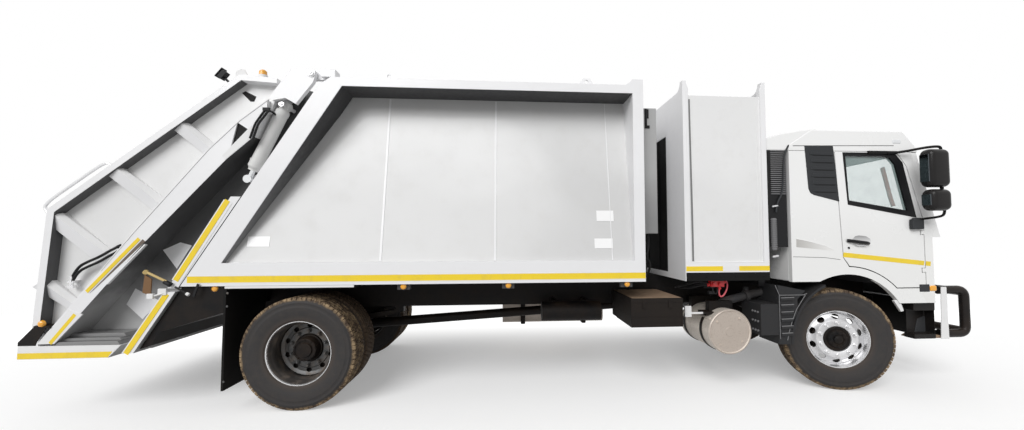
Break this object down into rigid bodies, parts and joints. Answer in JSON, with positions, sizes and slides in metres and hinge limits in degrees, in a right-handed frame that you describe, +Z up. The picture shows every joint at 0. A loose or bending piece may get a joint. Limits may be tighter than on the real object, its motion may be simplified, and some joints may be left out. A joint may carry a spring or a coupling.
{
  "type": "garbage truck",
  "caption": "Rear-loading garbage truck with a two-axle chassis, hinged cab doors, compactor body, equipment bin, lifting tailgate and a sliding packer with a hinged blade.",
  "frame": {"origin": "on the ground under the middle of the truck's overall box", "axes": "+X forward, +Y to the truck's left, +Z up"},
  "size_m": [9.354, 2.96, 3.2279],
  "materials": {
    "body_grey": "light grey paint",
    "cab_white": "gloss white paint",
    "chassis_black": "satin black paint",
    "engine_grey": "cast, painted",
    "black_plastic": "matt black",
    "tank_silver": "dull",
    "flap_rubber": "matt",
    "tyre_rubber": "matt",
    "wheel_steel": "silver paint",
    "windscreen_glass": "clear",
    "seat_cloth": "dark woven",
    "ram_paint": "light grey paint",
    "ram_chrome": "hard chrome"
  },
  "bodies": {
    "chassis": {"air_intake": "black_plastic", "air_tanks": "chassis_black", "battery_box": "chassis_black", "body_floor": "chassis_black", "body_front_wall": "body_grey", "body_roof": "body_grey", "body_sides": "body_grey", "bull_bar": "chassis_black", "cab_back_wall": "cab_white", "cab_floor": "chassis_black", "cab_front_panel": "cab_white", "cab_roof": "cab_white", "cab_seats": "seat_cloth", "cab_sides": "cab_white", "chassis_frame": "chassis_black", "dashboard": "black_plastic", "engine_block": "engine_grey", "equipment_bin": "body_grey", "front_axle_beam": "chassis_black", "front_bumper": "black_plastic", "front_mudguards": "black_plastic", "fuel_tank": "tank_silver", "leaf_springs": "chassis_black", "propeller_shaft": "chassis_black", "rear_axle_housing": "chassis_black", "rear_mudflaps": "flap_rubber", "silencer": "tank_silver", "steering_wheel": "black_plastic", "windscreen": "windscreen_glass"},
    "door_right": {"door_right": "cab_white", "mirrors_right": "black_plastic"},
    "door_left": {"door_left": "cab_white", "mirrors_left": "black_plastic"},
    "knuckle_right": {"knuckle_right": "chassis_black"},
    "knuckle_left": {"knuckle_left": "chassis_black"},
    "tie_rod": {"tie_rod": "chassis_black"},
    "front_right_wheel": {"front_right_tyre": "tyre_rubber", "front_right_wheel": "wheel_steel"},
    "front_left_wheel": {"front_left_tyre": "tyre_rubber", "front_left_wheel": "wheel_steel"},
    "rear_right_wheels": {"rear_right_tyres": "tyre_rubber", "rear_right_wheels": "wheel_steel"},
    "rear_left_wheels": {"rear_left_tyres": "tyre_rubber", "rear_left_wheels": "wheel_steel"},
    "tailgate": {"tailgate_sides": "body_grey", "tailgate_cover": "body_grey", "hopper_floor": "body_grey"},
    "lift_barrel_right": {"lift_barrel_right": "ram_paint"},
    "lift_barrel_left": {"lift_barrel_left": "ram_paint"},
    "lift_rod_right": {"lift_rod_right": "ram_chrome"},
    "lift_rod_left": {"lift_rod_left": "ram_chrome"},
    "packer_carriage": {"packer_carriage": "body_grey"},
    "packer_blade": {"packer_blade": "body_grey"}
  },
  "joints": [
    {"name": "rear_right_spin", "type": "hinge", "parent": "chassis", "child": "rear_right_wheels", "pos_m": [-2.333, -0.9, 0.525], "axis": [0, 1, 0], "continuous": true},
    {"name": "rear_left_spin", "type": "hinge", "parent": "chassis", "child": "rear_left_wheels", "pos_m": [-2.333, 0.9, 0.525], "axis": [0, 1, 0], "continuous": true},
    {"name": "steer_right", "type": "hinge", "parent": "chassis", "child": "knuckle_right", "pos_m": [3.167, -0.9, 0.525], "axis": [0, 0, 1], "range_deg": [-19, 53]},
    {"name": "steer_left", "type": "hinge", "parent": "chassis", "child": "knuckle_left", "pos_m": [3.167, 0.9, 0.525], "axis": [0, 0, 1], "range_deg": [-19, 53]},
    {"name": "tie_rod_swing", "type": "hinge", "parent": "knuckle_right", "child": "tie_rod", "pos_m": [2.9853, -0.84445, 0.38], "axis": [0, 0, 1], "range_deg": [-53, 19]},
    {"name": "front_right_spin", "type": "hinge", "parent": "knuckle_right", "child": "front_right_wheel", "pos_m": [3.167, -0.9, 0.525], "axis": [0.2924, 0.9563, 0], "continuous": true},
    {"name": "front_left_spin", "type": "hinge", "parent": "knuckle_left", "child": "front_left_wheel", "pos_m": [3.167, 0.9, 0.525], "axis": [0.2924, 0.9563, 0], "continuous": true},
    {"name": "door_right_swing", "type": "hinge", "parent": "chassis", "child": "door_right", "pos_m": [4.027, -1.195, 1.8], "axis": [0, 0, 1], "range_deg": [0, 65]},
    {"name": "door_left_swing", "type": "hinge", "parent": "chassis", "child": "door_left", "pos_m": [4.027, 1.195, 1.8], "axis": [0, 0, -1], "range_deg": [0, 65]},
    {"name": "tailgate_lift", "type": "hinge", "parent": "chassis", "child": "tailgate", "pos_m": [-2.253, 0, 3.178], "axis": [0, 1, 0], "range_deg": [0, 80]},
    {"name": "lift_barrel_right_swing", "type": "hinge", "parent": "tailgate", "child": "lift_barrel_right", "pos_m": [-2.538, -1.13, 2.884], "axis": [0, 1, 0], "range_deg": [-92.53, 0]},
    {"name": "lift_rod_right_slide", "type": "slide", "parent": "lift_barrel_right", "child": "lift_rod_right", "axis": [-0.4101, 0, -0.9121], "range_m": [0, 0.4852]},
    {"name": "lift_barrel_left_swing", "type": "hinge", "parent": "tailgate", "child": "lift_barrel_left", "pos_m": [-2.538, 1.13, 2.884], "axis": [0, 1, 0], "range_deg": [-92.53, 0]},
    {"name": "lift_rod_left_slide", "type": "slide", "parent": "lift_barrel_left", "child": "lift_rod_left", "axis": [-0.4101, 0, -0.9121], "range_m": [0, 0.4852]},
    {"name": "packer_slide", "type": "slide", "parent": "tailgate", "child": "packer_carriage", "axis": [-0.6428, 0, -0.766], "range_m": [0, 0.45]},
    {"name": "blade_swing", "type": "hinge", "parent": "packer_carriage", "child": "packer_blade", "pos_m": [-3.6329, 0, 1.72754], "axis": [0, 1, 0], "range_deg": [-40, 35]}
  ],
  "couplings": [
    {"joint": "steer_left", "follows": "steer_right", "ratio": 1},
    {"joint": "tie_rod_swing", "follows": "steer_right", "ratio": -1},
    {"joint": "lift_barrel_right_swing", "follows": "tailgate_lift", "ratio": -1.1504},
    {"joint": "lift_rod_right_slide", "follows": "tailgate_lift", "m_per_rad": 0.3461},
    {"joint": "lift_barrel_left_swing", "follows": "tailgate_lift", "ratio": -1.1504},
    {"joint": "lift_rod_left_slide", "follows": "tailgate_lift", "m_per_rad": 0.3461}
  ]
}
